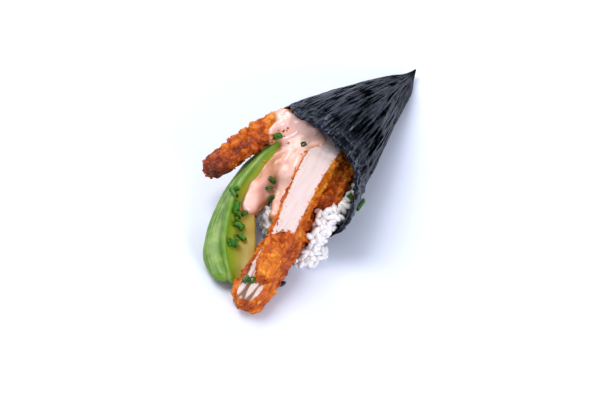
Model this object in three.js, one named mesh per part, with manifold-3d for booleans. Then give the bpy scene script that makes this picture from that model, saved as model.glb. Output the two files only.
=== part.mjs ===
// Temaki hand roll: a nori cone lying on its side, filled with rice, breaded chicken strips and avocado,
// with a thick sauce over them. Millimetres, +Z up, the cone's tip toward +Y and its mouth toward -Y.
import * as THREE from 'three';
import { mergeVertices } from 'three/addons/utils/BufferGeometryUtils.js';
import Module from 'manifold-3d';

const wasm = await Module();
wasm.setup();

// ---- driving dimensions --------------------------------------------------------------------------------

const GAP = 0.35;                // clearance left between neighbouring pieces
const SMOOTHING = 0.14;         // how far the cuts between pieces are smoothed

// The nori: half a sheet, 105 x 190 mm, rolled twice round into a cone that lies on its side.
const TIP_Y = 87;                // where the cone's axis meets the tip
const TIP_RADIUS = 2.4;          // half width of the blunt tip
const CONE_SLOPE = 0.284;        // growth of the half width per millimetre of axis
const CONE_FLATNESS = 0.8;       // height of the mouth against its width
const CONE_ROUNDNESS = 0.13;     // how much rounder the middle of the cone is than its mouth
const CONE_SETTLE = 0.5;         // how far the round underside is pressed flat
const NORI_THICKNESS = 0.7;      // wall where one turn lies on another
const SEAM_STEP = 0.55;          // step where the outer turn ends
const SEAM_ANGLE = -8;           // degrees up from the horizontal on the +X flank
const NORI_FOLD = 0.3;           // height of the soft folds in the wall
const TIP_SOLID = 9;             // length of the tip that is rolled solid
const SHEET_SHORT = 98;          // length of wall that keeps its rounder section
const NORI_AROUND = 42;
const NORI_ALONG = 10;
const ROOM_STEP = 14;            // spacing of the rings of the room inside the cone
const ROOM_END = 140;
const ROOM_AROUND = 32;

// Distance of the rim from the tip at angles round the mouth: the long edge of the sheet runs away from
// the tip on both sides of its nearest point.
const RIM = [
  [-45, 124], [-12, 120], [0, 115], [14, 107], [35, 102], [62, 99.5], [104, 98.5],
  [136, 88], [158, 90], [182, 95], [222, 106], [270, 118], [315, 124],
];

// The chicken: one breaded cutlet cut across into strips.
const CUTLET = 15.4;             // thickness of the cutlet with its crust, seen on a cut face
const CRUMB = 0.5;               // height of the crumbs that stand out of the crust
const STRIP_STEP = 6;            // spacing of the sections along a strip
const STRIP_CAP = 5;             // sections that close its far end

// The avocado: two long slices of a quarter, fanned one over the other.
const SLICE_OUTER = 6.5;         // thickness at the side the skin was on
const SLICE_INNER = 3.5;         // thickness at the stone side
const SLICE_SECTIONS = 14;

const FRONT_UPPER = {
  path: [[3.5, 26, 36], [11.2, -28, 31], [19.4, -78.5, 12.5]],
  thickness: CUTLET, width: 13.5, roll: 12, round: 10, taper: 0.56,
};
const FRONT_LOWER = {
  path: [[8, 12, 19], [12.3, -45, 15.3], [17, -90, 9.2]],
  thickness: CUTLET + 0.8, width: 10, roll: 4, round: 9,
};
const BACK = {
  path: [[-5, 24, 26], [-15.5, -1, 34], [-23.5, -15, 35], [-38, -46, 21.5]],
  thickness: 14, width: 8.5, roll: -8, round: 9, taper: 0.85,
};
const SHORT = {
  path: [[12, 14, 28], [18, -10, 25], [20.5, -31, 17]],
  thickness: 9, width: 9, roll: -10, round: 5,
};
const SLICE_OVER = {
  outer: [[-12, 6, 30], [-17, -20, 28], [-17.5, -46, 21.5], [-8.5, -68, 12.5], [7, -83.5, 6]],
  inner: [[-4, 6, 30], [-6, -18, 25], [-8.5, -38, 17.5], [-4.5, -48, 14], [5, -62, 10], [11, -79, 5.5]],
};
const SLICE_UNDER = {
  outer: [[-17, 2, 22], [-24, -27, 21], [-22.5, -53, 14.3], [-11.5, -75.5, 7.8], [4, -87.5, 3.9]],
  inner: [[-7, 4, 22], [-11, -24, 18], [-9, -50, 10], [0.5, -71, 5.4], [8, -84, 3.5]],
};

// The sauce: ribbons with half widths and half heights along their length.
const SAUCE_POOL = {
  path: [[-21, -6, 34], [-13, -8, 36], [-4, -8, 37], [7, -12, 36]],
  half: [4, 8, 8, 5],
  rise: [2, 3, 3.4, 2.4],
};
const SAUCE_STREAM = {
  path: [[-6, -8, 36], [-2, -22, 32], [2.5, -37, 26], [5, -47, 21]],
  half: [9, 8.6, 5.6, 2.6],
  rise: [3.4, 3.4, 3.2, 2.4],
};
const SAUCE_LOBE = {
  path: [[-12, -10, 34], [-12, -26, 28.5], [-11, -40, 24], [-9, -50, 21]],
  half: [8, 8, 6, 4.4],
  rise: [2.6, 2.4, 3, 3],
};
const SAUCE_RIDGE = {
  path: [[-17, -2, 35.5], [-19, -9, 36], [-21, -19, 34]],
  half: [1.8, 2.6, 1.8],
  rise: [1.8, 2.4, 1.6],
};
const SAUCE = [SAUCE_POOL, SAUCE_STREAM, SAUCE_LOBE, SAUCE_RIDGE];
const RIBBON_SECTIONS = 10;
const RIBBON_AROUND = 12;

// The rice: lumps that overlap into one heap, inside the cone and spilled over its lower rim.
const RICE = [
  { centre: [-2, 26, 14], radii: [34, 36, 26] },
  { centre: [15, -19, 3], radii: [31, 30, 18] },
];
const SPILL = { centre: [17, -42, 0], radii: [12.5, 11, 9] };
const SPILL_FROM = -38;          // where the rice is free of the mouth
const RICE_UNEVEN = 1.1;         // height of the grains' lumpy outline
const LUMP_AROUND = 17;
const LUMP_HIGH = 9;

// ---- shared helpers ------------------------------------------------------------------------------------

const v = (x, y, z) => new THREE.Vector3(x, y, z);
const radians = THREE.MathUtils.degToRad;
const clamp = THREE.MathUtils.clamp;

function ripple(p, size) {
  const a = Math.sin(p.x / size + 1.3) * Math.cos(p.y / (size * 0.83) + 0.4);
  const b = Math.sin(p.z / (size * 0.71) - p.y / (size * 1.37) + 2.1);
  const c = Math.cos(p.x / (size * 0.53) + p.z / (size * 0.61)) * 0.6;
  return (a + b + c) / 2.6;
}

function along(values, u) {
  const at = u * (values.length - 1);
  const i = Math.min(values.length - 2, Math.floor(at));
  return THREE.MathUtils.lerp(values[i], values[i + 1], at - i);
}

function solid(geometry) {
  geometry.deleteAttribute('normal');
  geometry.deleteAttribute('uv');
  const welded = mergeVertices(geometry, 1e-4);
  const mesh = new wasm.Mesh({
    numProp: 3,
    vertProperties: new Float32Array(welded.attributes.position.array),
    triVerts: new Uint32Array(welded.index.array),
  });
  mesh.merge();
  return new wasm.Manifold(mesh);
}

// Closed body through rings of equal length, fanned shut at both ends.
function loft(rings) {
  const n = rings[0].length;
  const positions = [];
  const faces = [];
  for (const ring of rings) {
    for (const p of ring) positions.push(p.x, p.y, p.z);
  }
  for (let i = 0; i < rings.length - 1; i += 1) {
    for (let j = 0; j < n; j += 1) {
      const k = (j + 1) % n;
      faces.push(i * n + j, i * n + k, (i + 1) * n + k);
      faces.push(i * n + j, (i + 1) * n + k, (i + 1) * n + j);
    }
  }
  const cap = (ring, base, flip) => {
    const middle = v(0, 0, 0);
    for (const p of ring) middle.addScaledVector(p, 1 / n);
    const hub = positions.length / 3;
    positions.push(middle.x, middle.y, middle.z);
    for (let j = 0; j < n; j += 1) {
      const k = (j + 1) % n;
      if (flip) faces.push(hub, base + k, base + j);
      else faces.push(hub, base + j, base + k);
    }
  };
  cap(rings[0], 0, true);
  cap(rings[rings.length - 1], (rings.length - 1) * n, false);
  const geometry = new THREE.BufferGeometry();
  geometry.setAttribute('position', new THREE.Float32BufferAttribute(positions, 3));
  geometry.setIndex(faces);
  const body = solid(geometry);
  if (body.volume() > 0) return body;
  geometry.setIndex(faces.reverse());
  return solid(geometry);
}

function geometryOf(body) {
  const mesh = body.getMesh();
  const geometry = new THREE.BufferGeometry();
  geometry.setAttribute('position', new THREE.Float32BufferAttribute(mesh.vertProperties, 3));
  geometry.setIndex(new THREE.BufferAttribute(mesh.triVerts, 1));
  return geometry;
}

function largest(body) {
  return body.decompose().sort((a, b) => b.volume() - a.volume())[0];
}

// ---- nori ----------------------------------------------------------------------------------------------

function rimReach(angle) {
  const turn = ((((angle + 45) % 360) + 360) % 360) - 45;
  const i = RIM.findIndex(([a]) => a > turn);
  const [a0, r0] = RIM[i - 1];
  const [a1, r1] = RIM[i];
  const t = THREE.MathUtils.smoothstep(turn, a0, a1);
  const wave = 0.8 * Math.sin(radians(turn * 7)) + 0.5 * Math.sin(radians(turn * 13 + 40));
  return THREE.MathUtils.lerp(r0, r1, t * 0.5 + ((turn - a0) / (a1 - a0)) * 0.5) + wave;
}

// A point of the cone: distance from the tip, angle round the axis, distance outside its inner face.
function conePoint(s, angle, out, rest) {
  const a = TIP_RADIUS + CONE_SLOPE * s;
  const rounder = Math.sin((Math.PI * clamp(s, 0, SHEET_SHORT)) / SHEET_SHORT);
  const b = a * (CONE_FLATNESS + CONE_ROUNDNESS * rounder);
  const t = radians(angle);
  const x = (a - NORI_THICKNESS + out) * Math.cos(t);
  const z = b + (b - NORI_THICKNESS + out) * Math.sin(t) - CONE_SETTLE;
  return v(x, TIP_Y - s, Math.max(z, rest));
}

// Wall of the wrap. Its outer face is a spiral: the thickness grows once round and steps back at the seam.
function nori(grow) {
  const outside = [];
  const inside = [];
  for (let i = 0; i <= NORI_ALONG; i += 1) {
    const outRing = [];
    const inRing = [];
    for (let j = 0; j < NORI_AROUND; j += 1) {
      const angle = SEAM_ANGLE + (360 * j) / NORI_AROUND;
      const end = rimReach(angle) + grow;
      const s = (end * i) / NORI_ALONG;
      const deep = TIP_SOLID + ((end - TIP_SOLID) * i) / NORI_ALONG;
      const turn = j === 0 ? 1 : j / NORI_AROUND;
      const fold = NORI_FOLD * Math.sin(s / 9 + radians(angle * 2)) * Math.min(1, s / 30);
      outRing.push(conePoint(s, angle, NORI_THICKNESS + SEAM_STEP * turn + fold + grow, -grow));
      inRing.push(conePoint(deep, angle, fold - grow, NORI_THICKNESS + grow));
    }
    outside.push(outRing);
    inside.push(inRing);
  }
  return loft([...outside, ...inside.reverse()]);
}

// The room inside the cone, carried on past the mouth.
function coneRoom() {
  const rings = [];
  for (let s = ROOM_STEP; s <= ROOM_END; s += ROOM_STEP) {
    const ring = [];
    for (let j = 0; j < ROOM_AROUND; j += 1) {
      ring.push(conePoint(s, (360 * j) / ROOM_AROUND, -NORI_FOLD - GAP, NORI_THICKNESS + GAP));
    }
    rings.push(ring);
  }
  return loft(rings);
}

// ---- breaded chicken strips ----------------------------------------------------------------------------

// Half outline of a strip's section as [across, down]: a flat cut face on top and underneath, a bulging
// crusted side between them.
const SECTION = [
  [0, 0], [0.42, 0], [0.84, 0], [1, -0.12], [1.05, -0.35], [1.06, -0.6], [1, -0.86], [0.8, -1], [0.3, -1],
];

// A strip swept along a line down the middle of its upper cut face, its crust closing round the far end.
function strip({ path, thickness, width, roll, round, taper = 1, grow = 0 }) {
  const curve = new THREE.CatmullRomCurve3(path.map((p) => v(...p)));
  const length = curve.getLength();
  const count = Math.round(length / STRIP_STEP);
  const stations = [];
  for (let i = 0; i <= count; i += 1) stations.push((i / count) * (1 - round / length));
  for (let i = 1; i <= STRIP_CAP; i += 1) {
    stations.push(1 - (round / length) * (1 - Math.sin((i * Math.PI) / (2 * STRIP_CAP))));
  }
  const outline = [...SECTION, ...SECTION.slice(1).reverse().map(([p, q]) => [-p, q])];
  const rings = stations.map((u, index) => {
    const tangent = curve.getTangentAt(clamp(u, 0, 1));
    const centre = curve.getPointAt(clamp(u, 0, 1));
    if (index === 0) centre.addScaledVector(tangent, -grow);
    if (index === stations.length - 1) centre.addScaledVector(tangent, grow);
    const left = (1 - u) * length;
    const closing = left < round ? Math.sqrt(Math.max(0.03, 1 - ((round - left) / round) ** 2)) : 1;
    const side = v(0, 0, 1).cross(tangent).normalize();
    const up = tangent.clone().cross(side).normalize();
    side.applyAxisAngle(tangent, radians(roll));
    up.applyAxisAngle(tangent, radians(roll));
    const half = (thickness / 2) * closing * THREE.MathUtils.lerp(1, taper, u) + grow;
    const deep = width * (0.72 + 0.28 * closing);
    const sunk = (width - deep) * 0.5;
    return outline.map(([p, q]) => {
      const point = centre.clone().addScaledVector(side, p * half);
      const flat = Math.abs(p) < 0.85;
      point.addScaledVector(up, q * deep - sunk + (q > -0.05 ? grow : -grow));
      return point.addScaledVector(side, flat ? 0 : Math.sign(p) * CRUMB * ripple(point, 1.9));
    });
  });
  return loft(rings);
}

// ---- avocado -------------------------------------------------------------------------------------------

// A slice between two edge lines on its upper cut face: the outer edge the skin was on, and the stone side.
function slice({ outer, inner, grow = 0 }) {
  const outerLine = new THREE.CatmullRomCurve3(outer.map((p) => v(...p)));
  const innerLine = new THREE.CatmullRomCurve3(inner.map((p) => v(...p)));
  const rings = [];
  for (let i = 0; i <= SLICE_SECTIONS; i += 1) {
    const u = i / SLICE_SECTIONS;
    const o = outerLine.getPointAt(u);
    const e = innerLine.getPointAt(u);
    const tangent = outerLine.getTangentAt(u).add(innerLine.getTangentAt(u)).normalize();
    const across = e.clone().sub(o).normalize();
    const down = tangent.clone().cross(across).normalize();
    if (down.z > 0) down.negate();
    const end = Math.min(1, Math.sqrt(Math.min(u, 1 - u) * 7 + 0.06));
    const thick = SLICE_OUTER * end + 2 * grow;
    const thin = SLICE_INNER * end + 2 * grow;
    const span = e.distanceTo(o);
    const shift = (i === 0 ? -grow : 0) + (i === SLICE_SECTIONS ? grow : 0);
    const at = (over, below) => {
      const point = o.clone().addScaledVector(across, over).addScaledVector(down, below - grow);
      return point.addScaledVector(tangent, shift);
    };
    rings.push([
      at(-grow, 0),
      at(span * 0.3, -0.2),
      at(span * 0.65, 0),
      at(span + grow, 0.3),
      at(span + 0.6 + grow, thin * 0.5),
      at(span + grow, thin),
      at(span * 0.65, (thin + thick) * 0.5 + 0.3),
      at(span * 0.3, thick),
      at(0.6 - grow, thick * 1.02),
      at(-1.6 * end - grow, thick * 0.78),
      at(-2.1 * end - grow, thick * 0.45),
      at(-1.2 * end - grow, thick * 0.15),
    ]);
  }
  return loft(rings);
}

// ---- sauce and rice ------------------------------------------------------------------------------------

function ribbon({ path, half, rise }) {
  const curve = new THREE.CatmullRomCurve3(path.map((p) => v(...p)));
  const rings = [];
  for (let i = 0; i <= RIBBON_SECTIONS; i += 1) {
    const u = i / RIBBON_SECTIONS;
    const closing = Math.sqrt(Math.max(0.02, 1 - Math.max(0, Math.abs(u - 0.5) * 2 - 0.75) ** 2 * 15.6));
    const tangent = curve.getTangentAt(u);
    const side = v(0, 0, 1).cross(tangent).normalize();
    const up = tangent.clone().cross(side);
    const ring = [];
    for (let j = 0; j < RIBBON_AROUND; j += 1) {
      const t = (j / RIBBON_AROUND) * Math.PI * 2;
      const point = curve.getPointAt(u).addScaledVector(side, along(half, u) * closing * Math.cos(t));
      ring.push(point.addScaledVector(up, along(rise, u) * closing * Math.sin(t)));
    }
    rings.push(ring);
  }
  return loft(rings);
}

function lump({ centre, radii }) {
  const geometry = new THREE.SphereGeometry(1, LUMP_AROUND, LUMP_HIGH);
  const position = geometry.attributes.position;
  for (let i = 0; i < position.count; i += 1) {
    const p = v().fromBufferAttribute(position, i).multiply(v(...radii)).add(v(...centre));
    const out = p.clone().sub(v(...centre)).normalize();
    p.addScaledVector(out, RICE_UNEVEN * ripple(p, 2.3));
    position.setXYZ(i, p.x, p.y, p.z);
  }
  return solid(geometry);
}

// ---- put together --------------------------------------------------------------------------------------

const BLOCK = 300;               // side of the blocks that cut at the table and at the mouth
const block = (x, y, z) => solid(new THREE.BoxGeometry(BLOCK, BLOCK, BLOCK).translate(x, y, z));
const aboveTable = block(0, 0, BLOCK / 2);
const union = (bodies) => bodies.reduce((all, body) => all.add(body));
const settle = (body, rooms) => {
  const cut = rooms.reduce((left, room) => left.subtract(room), body.intersect(aboveTable));
  return largest(cut.simplify(SMOOTHING));
};

const wall = nori(0);
const wallRoom = nori(GAP);
const room = (make, sizes) => make({ ...sizes, grow: GAP });

const upper = settle(strip(FRONT_UPPER), [wallRoom]);
const upperRoom = room(strip, FRONT_UPPER);
const lower = settle(strip(FRONT_LOWER), [wallRoom, upperRoom]);
const lowerRoom = room(strip, FRONT_LOWER);
const back = settle(strip(BACK), [wallRoom, upperRoom]);
const backRoom = room(strip, BACK);
const short = settle(strip(SHORT), [wallRoom, upperRoom, lowerRoom]);
const shortRoom = room(strip, SHORT);
const over = settle(slice(SLICE_OVER), [wallRoom, upperRoom, lowerRoom, backRoom]);
const overRoom = room(slice, SLICE_OVER);
const under = settle(slice(SLICE_UNDER), [wallRoom, upperRoom, lowerRoom, backRoom, overRoom]);
const underRoom = room(slice, SLICE_UNDER);
const strips = [upperRoom, lowerRoom, backRoom, shortRoom, overRoom, underRoom];
const sauceBody = union(SAUCE.map(ribbon));
const sauce = settle(sauceBody, [wallRoom, ...strips]);
const sauceRoom = union(SAUCE.map(({ path, half, rise }) => (
  ribbon({ path, half: half.map((h) => h + GAP), rise: rise.map((r) => r + GAP) })
)));
const inCone = coneRoom();
const free = block(0, SPILL_FROM - BLOCK / 2, 0);
const spill = lump(SPILL).intersect(inCone.add(free));
const heap = union(RICE.map(lump)).intersect(inCone).add(spill);
const rice = settle(heap, [wallRoom, sauceRoom, ...strips]);

const pieces = [
  ['nori_wrap', wall, '#141a22', 0.45],
  ['katsu_front_upper', upper, '#d8a468', 0.8],
  ['katsu_front_lower', lower, '#d09a60', 0.8],
  ['katsu_back', back, '#b8691c', 0.8],
  ['katsu_short', short, '#c06a20', 0.8],
  ['avocado_over', over, '#8da83c', 0.5],
  ['avocado_under', under, '#93b05a', 0.5],
  ['sauce', sauce, '#e3a796', 0.3],
  ['rice', rice, '#e6e2e2', 0.6],
];

const group = new THREE.Group();
group.name = 'temaki_hand_roll';
for (const [name, body, colour, roughness] of pieces) {
  const material = new THREE.MeshStandardMaterial({ color: colour, roughness, metalness: 0 });
  const mesh = new THREE.Mesh(geometryOf(body), material);
  mesh.name = name;
  group.add(mesh);
}

// The origin is under the middle of the roll, on the table.
const extent = new THREE.Box3().setFromObject(group);
const middle = extent.getCenter(v());
group.position.set(-middle.x, -middle.y, -extent.min.z);

export default group;
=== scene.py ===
import math

import bpy
import numpy as np
from mathutils import Matrix, Vector, noise
from mathutils.bvhtree import BVHTree


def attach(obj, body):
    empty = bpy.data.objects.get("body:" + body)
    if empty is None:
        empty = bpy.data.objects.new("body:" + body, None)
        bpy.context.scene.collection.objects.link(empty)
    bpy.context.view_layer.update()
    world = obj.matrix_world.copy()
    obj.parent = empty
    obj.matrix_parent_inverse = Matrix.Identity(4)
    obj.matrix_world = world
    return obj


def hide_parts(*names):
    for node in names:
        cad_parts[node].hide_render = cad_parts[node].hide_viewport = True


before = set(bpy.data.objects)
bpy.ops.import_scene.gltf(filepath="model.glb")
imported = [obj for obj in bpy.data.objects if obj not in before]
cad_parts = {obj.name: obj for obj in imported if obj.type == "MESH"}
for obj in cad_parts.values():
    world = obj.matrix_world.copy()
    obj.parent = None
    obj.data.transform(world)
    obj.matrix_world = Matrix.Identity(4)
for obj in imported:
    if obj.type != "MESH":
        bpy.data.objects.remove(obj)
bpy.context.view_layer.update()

# ---- Camera, floor and light --------------------------------------------------------------------
# A long lens looks down into the mouth of the roll from its front right. The roll lies on a plain
# pale table, under a broad soft window high on its left, with smaller ones behind it and on its
# right.

CAMERA_PLACE = (0.247613, -0.404118, 0.553930)
CAMERA_RIGHT = Vector((0.81904892, 0.5724727, 0.03786662))
CAMERA_UP = Vector((-0.46163094, 0.6183973, 0.63598872))

bpy.ops.object.select_all(action="DESELECT")
bpy.ops.object.camera_add()
camera = bpy.context.object
camera_axes = Matrix((CAMERA_RIGHT, CAMERA_UP, CAMERA_RIGHT.cross(CAMERA_UP)))
camera.matrix_world = camera_axes.transposed().to_4x4()
camera.location = CAMERA_PLACE
camera.data.sensor_width = 36
camera.data.lens = 88.63
bpy.context.scene.camera = camera
bpy.context.scene.view_settings.view_transform = "Standard"


def linear(colour):
    """An sRGB hex colour as linear light, with full alpha."""
    parts = [int(colour[i : i + 2], 16) / 255 for i in (1, 3, 5)]
    return [c / 12.92 if c <= 0.04045 else ((c + 0.055) / 1.055) ** 2.4 for c in parts] + [1.0]


def node(material, kind, inputs=None, stops=None, **settings):
    """One node with its settings. A socket given another socket is linked to it."""
    made = material.node_tree.nodes.new(kind)
    for name, value in settings.items():
        setattr(made, name, value)
    for socket, value in (inputs or {}).items():
        if isinstance(value, bpy.types.NodeSocket):
            material.node_tree.links.new(value, made.inputs[socket])
        else:
            made.inputs[socket].default_value = value
    for i, (place, colour) in enumerate(stops or []):
        ramp = made.color_ramp.elements
        step = ramp[i] if i < 2 else ramp.new(place)
        step.position = place
        step.color = linear(colour)
    return made


def finish_named(name, **sockets):
    """A new material and its Principled shader."""
    material = bpy.data.materials.new(name)
    material.use_nodes = True
    shader = material.node_tree.nodes["Principled BSDF"]
    for socket, value in sockets.items():
        shader.inputs[socket.replace("_", " ")].default_value = value
    return material, shader


def light(name, place, target, size, power, colour):
    """A square soft light at a place, turned to a target."""
    data = bpy.data.lights.new(name, "AREA")
    data.size = size
    data.energy = power
    data.color = linear(colour)[:3]
    lamp = bpy.data.objects.new(name, data)
    lamp.location = place
    lamp.rotation_euler = (Vector(target) - Vector(place)).to_track_quat("-Z", "Y").to_euler()
    bpy.context.scene.collection.objects.link(lamp)


bpy.ops.object.select_all(action="DESELECT")
bpy.ops.mesh.primitive_plane_add(size=6, location=(0, 0, -0.0001))
floor = bpy.context.object
floor.name = "table_top"
# White laminate: a plain matt ground that takes the roll's soft shadow.
pale, pale_shader = finish_named("matt_white_laminate", Roughness=0.55)
pale_shader.inputs["Base Color"].default_value = linear("#e1e7f6")
floor.data.materials.append(pale)

light("window_left", (-0.42, 0.02, 0.74), (0, -0.02, 0.02), 0.5, 5.9, "#fffaf4")
light("window_back", (-0.34, 0.80, 0.50), (0, 0.02, 0.02), 0.3, 3.2, "#e4edff")
light("window_right", (0.78, -0.30, 0.40), (0, 0, 0.02), 0.3, 4.6, "#faf8ff")
sky = bpy.data.worlds.new("soft_room")
sky.use_nodes = True
sky.node_tree.nodes["Background"].inputs["Color"].default_value = linear("#dfe6f4")
sky.node_tree.nodes["Background"].inputs["Strength"].default_value = 0.58
bpy.context.scene.world = sky

# ---- Nori wrap ----------------------------------------------------------------------------------
# Half a sheet of roasted laver, rolled round itself into a cone. It is paper-thin and brittle when
# dry, and the moist rice under it has drawn it into fine lengthwise wrinkles and softened its rim
# into ripples.

TIP = (0.0026, 0.0885)                # x and y of the cone's tip
CONE_SLOPE = 0.284                    # growth of the half width per metre of length
WRINKLE = 0.00070                     # height of the lengthwise wrinkles
CREASE = 0.0015                       # height of the broader creases
RIM_RIPPLE = 0.0015                   # how far the rim wanders
LUMP_HIGH = 0.0009                    # height of the lumps that the rice makes in the moist sheet
SMALL_LUMP_HIGH = 0.0006
LUMPS_FROM = 0.076                    # how far from the tip the lumps begin
PINCHED = 0.016                       # length of the pinched tip
TIP_HIGH = 0.0052                     # how far its point lifts off the table
MID_RADIUS = 0.03                     # radius at which the sheet's pattern is laid out
# Sizes of wrinkles, the finest wrinkles, creases and dents: twice round the cone, then down it.
WRINKLE_SIZE = (0.0011, 0.0011, 0.009)
FINEST_SIZE = (0.0006, 0.0006, 0.004)
CREASE_SIZE = (0.0045, 0.0045, 0.022)
DENT_SIZE = (0.006, 0.006, 0.007)


def points_of(piece):
    """A piece's vertices as an array."""
    places = np.empty(len(piece.data.vertices) * 3)
    piece.data.vertices.foreach_get("co", places)
    return places.reshape(-1, 3)


def normals_of(piece):
    """The outward directions at a piece's vertices."""
    piece.data.update()
    out = np.empty(len(piece.data.vertices) * 3)
    piece.data.vertex_normals.foreach_get("vector", out)
    return out.reshape(-1, 3)


def place_points(piece, places):
    """Moves a piece's vertices to an array of places."""
    piece.data.vertices.foreach_set("co", np.asarray(places, float).ravel())
    piece.data.update()


def remember(piece, name, values):
    """Keeps one number per vertex on the piece, for its material to read."""
    layer = piece.data.attributes.new(name, "FLOAT", "POINT")
    layer.data.foreach_set("value", np.asarray(values, float))


def ripple(places, size, offset=0.0):
    """Smooth noise, -1 to 1, with features about as big as the size, one size or three."""
    scaled = places / np.asarray(size) + offset
    return np.array([noise.noise(p) for p in scaled.tolist()])


def crumbs_at(places, size, offset=0.0):
    """Rounded bumps of uneven height packed side by side, 0 between them to 1 on the highest."""
    scaled = places / size + offset
    found = [noise.voronoi(p) for p in scaled.tolist()]
    near = np.array([gaps[0] for gaps, _ in found])
    middles = np.array([tuple(spots[0]) for _, spots in found])
    tall = 0.35 + 0.65 * (np.abs(np.sin(middles @ (12.99, 78.23, 37.72))) * 43758.5 % 1)
    return tall * (1 - np.clip(near / 0.75, 0, 1) ** 1.5)


def select_only(piece):
    """Makes a piece the one that Blender's tools work on."""
    bpy.ops.object.select_all(action="DESELECT")
    piece.select_set(True)
    bpy.context.view_layer.objects.active = piece


def use_modifiers(piece, *kinds):
    """Adds modifiers in turn, each with its settings, and applies them."""
    select_only(piece)
    for kind, settings in kinds:
        modifier = piece.modifiers.new(kind.lower(), kind)
        for name, value in settings.items():
            setattr(modifier, name, value)
        bpy.ops.object.modifier_apply(modifier=modifier.name)


def copy_of(solid, name):
    """A joined-up copy of a CAD solid's mesh, as a new piece."""
    piece = bpy.data.objects.new(name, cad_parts[solid].data.copy())
    bpy.context.scene.collection.objects.link(piece)
    select_only(piece)
    bpy.ops.object.mode_set(mode="EDIT")
    bpy.ops.mesh.select_all(action="SELECT")
    bpy.ops.mesh.remove_doubles(threshold=1e-6)
    bpy.ops.mesh.normals_make_consistent(inside=False)
    bpy.ops.object.mode_set(mode="OBJECT")
    piece.data.materials.clear()
    return piece


def smooth(piece):
    """Shades a piece as one smooth skin."""
    select_only(piece)
    bpy.ops.object.shade_smooth()


def cloudy_noise(material, scale, detail):
    """Noise over a piece, with features about 1 / scale metres across."""
    place_in = node(material, "ShaderNodeTexCoord")
    return node(
        material,
        "ShaderNodeTexNoise",
        {"Vector": place_in.outputs["Object"], "Scale": scale, "Detail": detail},
    )


def ranged(material, value, low, high, to_low=0.0, to_high=1.0):
    """A value stretched from one range onto another."""
    sockets = {"Value": value, "From Min": low, "From Max": high}
    sockets.update({"To Min": to_low, "To Max": to_high})
    return node(material, "ShaderNodeMapRange", sockets)


def worked_out(material, operation, *values):
    """One step of arithmetic on its values."""
    return node(material, "ShaderNodeMath", dict(enumerate(values)), operation=operation)


def coloured(material, share, stops):
    """Colours that follow a share of 0 to 1. Any stops but the first and last come after them."""
    return node(material, "ShaderNodeValToRGB", {"Fac": share}, stops=stops)


def into(shader, **sockets):
    """Links sockets into a shader's inputs, named with _ for a space."""
    for name, socket in sockets.items():
        shader.id_data.links.new(socket, shader.inputs[name.replace("_", " ")])


sheet = copy_of("nori_wrap", "nori_sheet")
use_modifiers(sheet, ("SUBSURF", {"levels": 3, "render_levels": 3}))
smooth(sheet)
place = points_of(sheet)
outward = normals_of(sheet)
down_cone = TIP[1] - place[:, 1]
across = place[:, 0] - TIP[0]
half_width = 0.0024 + CONE_SLOPE * np.maximum(down_cone, 0)
height = place[:, 2] - 0.85 * half_width
turn = np.arctan2(height, across)
# Coordinates that run with the sheet: round the cone, and down its length.
laid = np.stack([np.cos(turn) * MID_RADIUS, np.sin(turn) * MID_RADIUS, down_cone], 1)
fine = ripple(laid, WRINKLE_SIZE) * 0.6 + ripple(laid, FINEST_SIZE, 7.0) * 0.4
fold = ripple(laid, CREASE_SIZE, 3.0) + 0.5 * ripple(laid, DENT_SIZE, 11.0)
creased = np.abs(fold) ** 0.7
near_rim = np.clip((down_cone - 0.075) / 0.03, 0, 1)
lift = WRINKLE * fine * (0.5 + 0.5 * near_rim) + CREASE * (0.5 - creased) * (0.35 + 0.65 * near_rim)
lift *= np.clip((down_cone - 0.002) / 0.02, 0.15, 1)
lumpy = LUMP_HIGH * ripple(place, 0.0046, 15.0) + SMALL_LUMP_HIGH * ripple(place, 0.0021, 18.0)
lift += lumpy * np.clip((down_cone - LUMPS_FROM) / 0.02, 0, 1)
# The sheet's underside stays flat on the table.
above = np.clip((place[:, 2] - 0.0008) / 0.004, 0, 1)
place = place + outward * (lift * above)[:, None]
edge = np.clip(-outward[:, 1] * 1.4 - 0.3, 0, 1)
wander = ripple(place, 0.0035, 5.0) + 0.6 * ripple(place, 0.0016, 9.0)
place[:, 1] -= RIM_RIPPLE * edge * wander * above
# The rolled tip is pinched to a point that lifts a little off the table.
to_tip = np.clip(1 - down_cone / PINCHED, 0, 1) ** 1.6
place[:, 0] = TIP[0] + (place[:, 0] - TIP[0]) * (1 - 0.8 * to_tip)
place[:, 2] = place[:, 2] + (TIP_HIGH - place[:, 2]) * 0.8 * to_tip
place_points(sheet, place)
for name, values in (("round_x", laid[:, 0]), ("round_z", laid[:, 1]), ("down", laid[:, 2])):
    remember(sheet, name, values)

# Roasted laver: blue-black, with a satin skin that turns blue-grey where the light grazes it.
nori, nori_shader = finish_named("roasted_laver", IOR=1.45)
nori_shader.inputs["Specular Tint"].default_value = linear("#bccdf2")
# The sheet's own coordinates, so that its fibres run from the rim to the tip.
laid_by = [
    node(nori, "ShaderNodeAttribute", attribute_name=name)
    for name in ("round_x", "round_z", "down")
]
drawn_down = worked_out(nori, "MULTIPLY", laid_by[2].outputs["Fac"], 0.11)
along_fibre = node(
    nori,
    "ShaderNodeCombineXYZ",
    {0: laid_by[0].outputs["Fac"], 1: laid_by[1].outputs["Fac"], 2: drawn_down.outputs[0]},
)
# Bundles of fibres two millimetres wide, about nine times as long.
fibres = node(
    nori,
    "ShaderNodeTexNoise",
    {"Vector": along_fibre.outputs["Vector"], "Scale": 560.0, "Detail": 5.0, "Distortion": 0.5},
)
# Shreds of laver about two millimetres long, pressed flat.
mottle = cloudy_noise(nori, 480.0, 4.0)
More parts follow.
